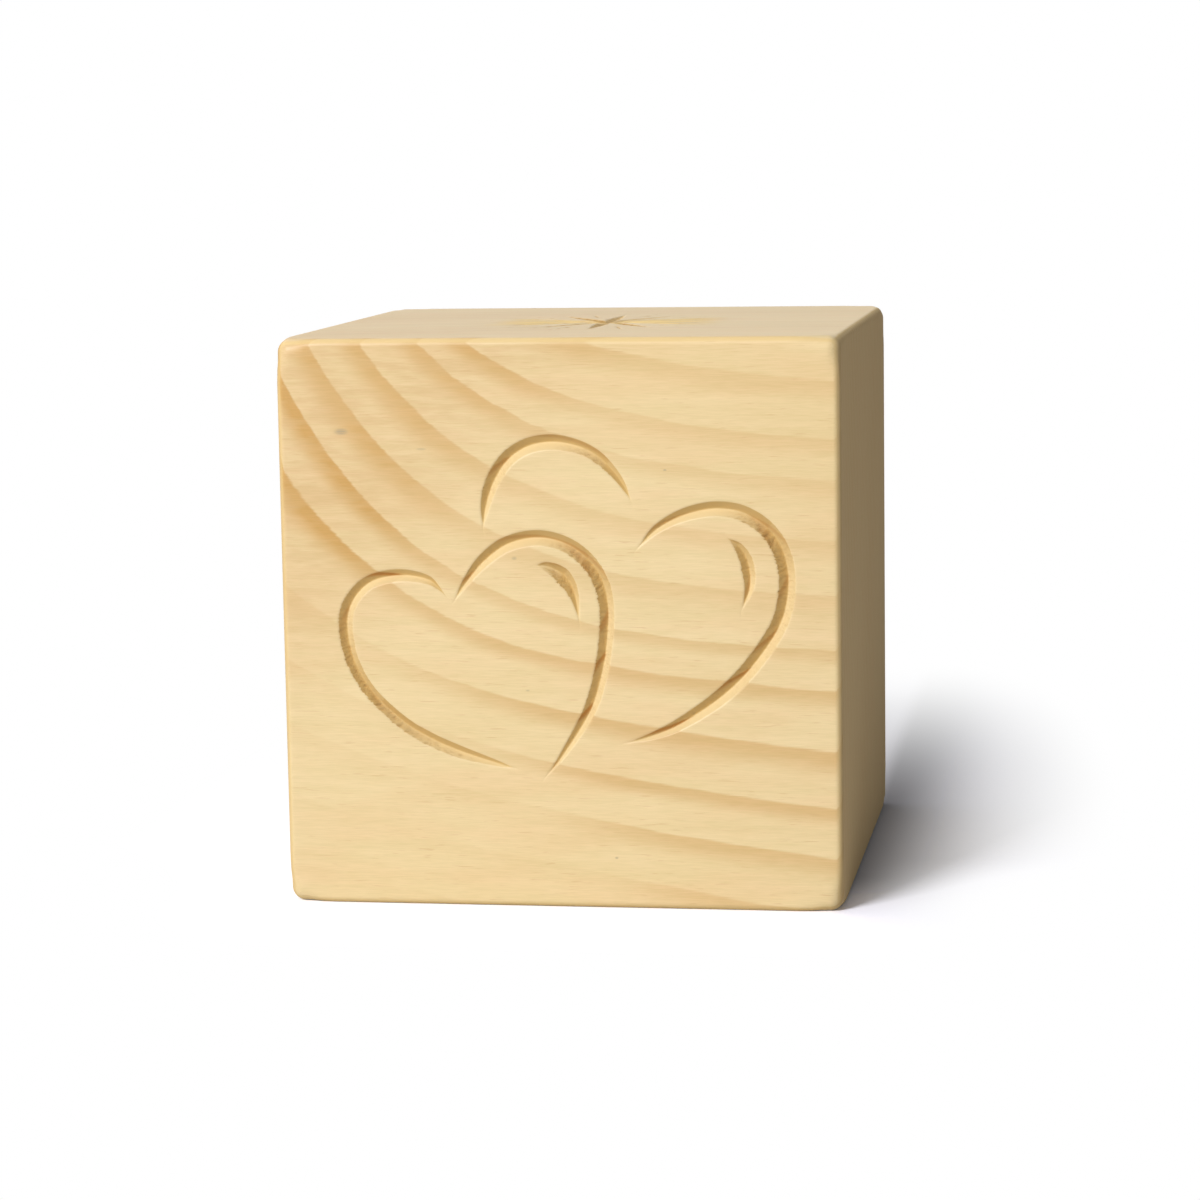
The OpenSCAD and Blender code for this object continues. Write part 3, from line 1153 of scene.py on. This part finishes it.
def torn_along_grain(tree, place):
    """The star's splintered strip of lifted fibres along X, painted partly as a highlight: 0 to 1."""
    at = parts_of(tree, place)
    aside = arithmetic(tree, "ABSOLUTE", arithmetic(tree, "SUBTRACT", at["X"], star_right * MM))
    off = arithmetic(tree, "ABSOLUTE", arithmetic(tree, "SUBTRACT", at["Y"], star_back * MM))
    half_strip = arithmetic(tree, "ADD", product(tree, aside, strip_widens), strip_half * MM)
    beyond = arithmetic(tree, "DIVIDE", off, half_strip)
    across_strip = smooth_step(tree, beyond, 0.7, 1.15, 1.0, 0.0)
    out_along = smooth_step(tree, aside, strip_fades_from * MM, strip_fades_to * MM, 1.0, 0.0)
    splinters = smooth_step(tree, fibres(tree, place, "splinters"), 0.38, 0.50)
    return product(tree, across_strip, out_along, near_top(tree, place), splinters)


def small_mark(tree, place, right, up, width, height):
    """A small soft mark on the front: 1 in its middle, 0 outside it."""
    shift = tree.nodes.new("ShaderNodeMapping")
    shift.vector_type = "TEXTURE"
    spot = (right * MM, -block_d / 2 * MM, up * MM)
    sizes = (width / 2 * MM, 2 * MM, height / 2 * MM)
    feed(tree, shift, {"Vector": place, "Location": spot, "Scale": sizes})
    return smooth_step(tree, length_of(tree, shift.outputs[0]), 0.2, 1.0, 1.0, 0.0)


def all_marks(tree, place, fine):
    """All the small marks of the front together, broken up by the fibres."""
    total = 0.0
    for *spot_and_size, darkness in small_marks:
        mark = product(tree, small_mark(tree, place, *spot_and_size), darkness)
        total = arithmetic(tree, "MAXIMUM", mark, total)
    return product(tree, total, smooth_step(tree, fine, 0.30, 0.55, 0.45, 1.0))


print(len(small_marks), "small marks; the splintered strip is", 2 * strip_fades_to, "mm long")

# %% [markdown]
# ## Bare wood
# The colour is built in layers, in the order in which the real block got them, and each is blended over the
# last. First comes the wood itself: peach patches, the honey-toned corner, which on the top is partly
# painted shade, the stained corner, the rings, streaks, flecks and the small marks. A streak darkens blue
# twice as much as red, because darker wood is warmer too.

# %% Colour the bare wood
peach_most, fleck_most = 0.3, 0.45
stained_least, stained_most = 0.34, 0.60


def bare_wood(tree, place, summer, upper_left, stains, honey_and_top_shade, fine):
    """The colour of the wood: patches, stains, rings, fibres, flecks and marks."""
    aged = product(tree, upper_left, smooth_step(tree, stains, 0, 1, stained_least, stained_most))
    peach = smooth_step(tree, fibres(tree, place, "peach patches"), 0.42, 0.66, 0.0, peach_most)
    colour = blend(tree, peach, spring_wood, peach_wood)
    # Honey tone, which on the top's right is partly painted shade
    colour = blend(tree, honey_and_top_shade, colour, honey_and_shade_wood)
    colour = blend(tree, aged, colour, aged_wood)
    colour = blend(tree, summer, colour, summer_wood)
    dash = smooth_step(tree, fine, 0.25, 0.75, 0.96, 1.03)
    streak = smooth_step(tree, fibres(tree, place, "streaks"), 0.2, 0.8, 0.97, 1.025)
    shade = product(tree, dash, streak)
    warm_shade = tree.nodes.new("ShaderNodeCombineColor")
    feed(tree, warm_shade, {0: shade, 1: shade, 2: product(tree, shade, shade)})
    colour = blend(tree, 1.0, colour, warm_shade.outputs[0], "MULTIPLY")
    flecks = smooth_step(tree, fibres(tree, place, "flecks"), 0.62, 0.76, 0.0, fleck_most)
    colour = blend(tree, flecks, colour, aged_wood)
    return blend(tree, all_marks(tree, place, fine), colour, smudge_grey)


print("peach patches up to", peach_most, "and flecks up to", fleck_most)

# %% [markdown]
# ## Fresh, browned and torn cuts
# A cut shows clean wood. Where the tool ran against the grain the wall turned brown, and the hard summer
# wood most of all, so a brown wall shows the rings that it crosses. On the hearts the upper left wall, which
# faces away from the lamp, is made brown the same way as painted shade. Faces with a material of their own
# would end at a hard line, so the cuts are blended in by their depth instead.

# %% Colour the cuts
fresh_share, torn_share, splinter_share = 0.85, 0.6, 0.9
burnt_gain = 1.9


def cut_wood(tree, place, colour, cut, burnt_ring, fine, splintered):
    """The same colour with the cuts in it: fresh, brown and partly painted shade, burnt where they cross a
    ring, and torn.
    """
    # On the top the cuts take the paler star colour, which is partly painted light
    cut_colour_and_painted_light = blend(tree, near_top(tree, place), fresh_cut, star_cut_and_painted_light)
    colour = blend(tree, product(tree, cut, fresh_share), colour, cut_colour_and_painted_light)
    # Painted shade as well as real brown: on the hearts it lies on the upper left wall, away from the lamp
    browned_and_shaded = product(tree, cut, attribute(tree, "browned_and_shaded_cut"))
    colour = blend(tree, browned_and_shaded, colour, browned_and_shaded_wood)
    burnt = product(tree, browned_and_shaded, burnt_ring, burnt_gain, clamp=True)
    colour = blend(tree, burnt, colour, burnt_wood)
    ragged = smooth_step(tree, fine, 0.30, 0.60)
    torn = product(tree, attribute(tree, "torn_fibres"), ragged, cut, torn_share)
    colour = blend(tree, torn, colour, torn_wood)
    # Painted highlight in part: the splintered strip is painted nearly white
    fresh = product(tree, splintered, arithmetic(tree, "SUBTRACT", 1.0, browned_and_shaded), splinter_share)
    return blend(tree, fresh, colour, splinter_and_highlight_wood)


print("a fresh cut hides", fresh_share, "of the colour below it")

# %% [markdown]
# ## Gloss and relief
# Sanded and oiled pine has a satin gloss. Its end grain, edges, cuts and splinters are more matt. Fibres,
# summer wood and splinters also stand up a little, by less than any mesh could show, so a bump gives them.

# %% Give it a surface
smoothest, roughest, matt_more = 0.38, 0.48, 0.45
summer_height, splinter_height = 0.5, 4.0
relief = 0.05


def satin_wood(tree, colour, fine, edge, end_grain, cut, splintered, summer):
    """The surface for this colour, more matt and raised where the wood is."""
    satin = smooth_step(tree, fine, 0.3, 0.7, smoothest, roughest)
    matt = arithmetic(tree, "MAXIMUM", end_grain, smooth_step(tree, edge, 0, 0.4, 0.0, 0.7))
    matt = arithmetic(tree, "MAXIMUM", matt, arithmetic(tree, "MAXIMUM", cut, splintered))
    rough = arithmetic(tree, "ADD", satin, product(tree, matt, matt_more))
    height = arithmetic(tree, "ADD", fine, product(tree, summer, summer_height))
    height = arithmetic(tree, "ADD", height, product(tree, splintered, splinter_height))
    bump = tree.nodes.new("ShaderNodeBump")
    feed(tree, bump, {"Strength": 0.35, "Distance": relief * MM, "Height": height})
    wood = tree.nodes.new("ShaderNodeBsdfPrincipled")
    feed(tree, wood, {"Base Color": colour, "Roughness": rough, "Normal": bump.outputs[0], "IOR": 1.45})
    return wood.outputs[0]


print("roughness from", smoothest, "to", round(roughest + matt_more, 2))

# %% [markdown]
# ## The layers together
# The sanded edges are warmer and the end grain is browner, so both go over the bare wood, and the cuts go
# over all of it. The numbers that travel with the mesh say where each layer lies.

# %% Put the finish together
edge_most, end_grain_most = 0.6, 0.6
cut_starts, cut_full = 0.06, 0.20


def pine_finish():
    """Satin pine: rings, fibres, brown and torn cuts with painted shade and painted light, and warm sanded
    edges.
    """
    finish, tree, output = new_finish("satin_pine")
    place = tree.nodes.new("ShaderNodeTexCoord").outputs["Object"]
    number = frayed_number(tree, attribute(tree, "ring_number"), place)
    darkness, start = ring_chart(tree, number)
    stains = smooth_step(tree, fibres(tree, place, "stains"), 0.36, 0.66)
    strength, upper_left, honey_and_top_shade = strength_by_place(tree, place, stains)
    start = arithmetic(tree, "SUBTRACT", start, product(tree, upper_left, wider_there))
    summer = band_in_ring(tree, number, start, darkest_from, breaks_off_from)
    summer = product(tree, summer, darkness, strength, clamp=True)
    burnt_ring = band_in_ring(tree, number, burnt_from, burnt_to, burnt_fades_from)
    burnt_ring = product(tree, burnt_ring, darkness, strength, clamp=True)
    fine = fibres(tree, place, "hair lines")
    colour = bare_wood(tree, place, summer, upper_left, stains, honey_and_top_shade, fine)
    edge = smooth_step(tree, attribute(tree, "rounded_edge"), 0.0, 0.6, 0.0, edge_most)
    colour = blend(tree, edge, colour, warm_edge)
    end_grain = facing_along_grain(tree)
    colour = blend(tree, product(tree, end_grain, end_grain_most), colour, end_wood)
    cut = smooth_step(tree, attribute(tree, "cut_depth"), cut_starts, cut_full)
    splintered = torn_along_grain(tree, place)
    colour = cut_wood(tree, place, colour, cut, burnt_ring, fine, splintered)
    surface = satin_wood(tree, colour, fine, edge, end_grain, cut, splintered, summer)
    feed(tree, output, {"Surface": surface})
    return finish


block_mesh.materials.append(pine_finish())
print("finish", block_mesh.materials[0].name, "with", len(block_mesh.materials[0].node_tree.nodes), "nodes")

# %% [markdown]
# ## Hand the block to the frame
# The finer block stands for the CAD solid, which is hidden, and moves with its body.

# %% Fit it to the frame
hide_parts("carved_block")
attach(cube, "root")
